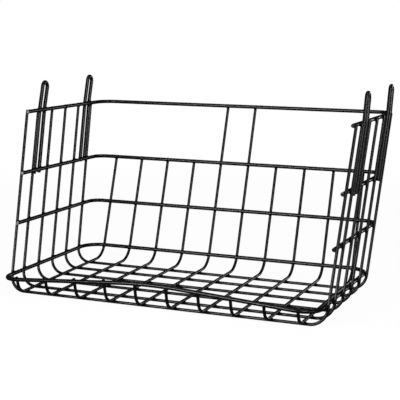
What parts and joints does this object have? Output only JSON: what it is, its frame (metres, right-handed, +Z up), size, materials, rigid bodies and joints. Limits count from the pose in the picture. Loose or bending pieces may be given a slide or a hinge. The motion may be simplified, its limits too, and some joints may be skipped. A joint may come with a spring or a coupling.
{
  "type": "wire locker basket",
  "caption": "Open-front welded wire basket with sloping walls, an arched front lip and hairpin prongs that stand over the side rims.",
  "frame": {"origin": "on the surface that the basket stands on, under the middle of its outer box", "axes": "+X to the basket's right along its width, +Y to its back wall, +Z up"},
  "size_m": [0.2786, 0.1966, 0.163],
  "materials": {
    "coated_wire": "smooth black powder coat, satin"
  },
  "bodies": {
    "root": {"back_wire_01": "coated_wire", "back_wire_02": "coated_wire", "back_wire_03": "coated_wire", "back_wire_04": "coated_wire", "back_wire_05": "coated_wire", "back_wire_06": "coated_wire", "back_wire_07": "coated_wire", "back_wire_08": "coated_wire", "back_wire_09": "coated_wire", "back_wire_10": "coated_wire", "base_hoop": "coated_wire", "lower_hoop": "coated_wire", "prong_left_back": "coated_wire", "prong_left_front": "coated_wire", "prong_right_back": "coated_wire", "prong_right_front": "coated_wire", "rim_hoop": "coated_wire", "side_wire_1": "coated_wire", "side_wire_2": "coated_wire", "side_wire_3": "coated_wire", "side_wire_4": "coated_wire", "side_wire_5": "coated_wire", "side_wire_6": "coated_wire", "upper_hoop": "coated_wire"}
  },
  "joints": []
}
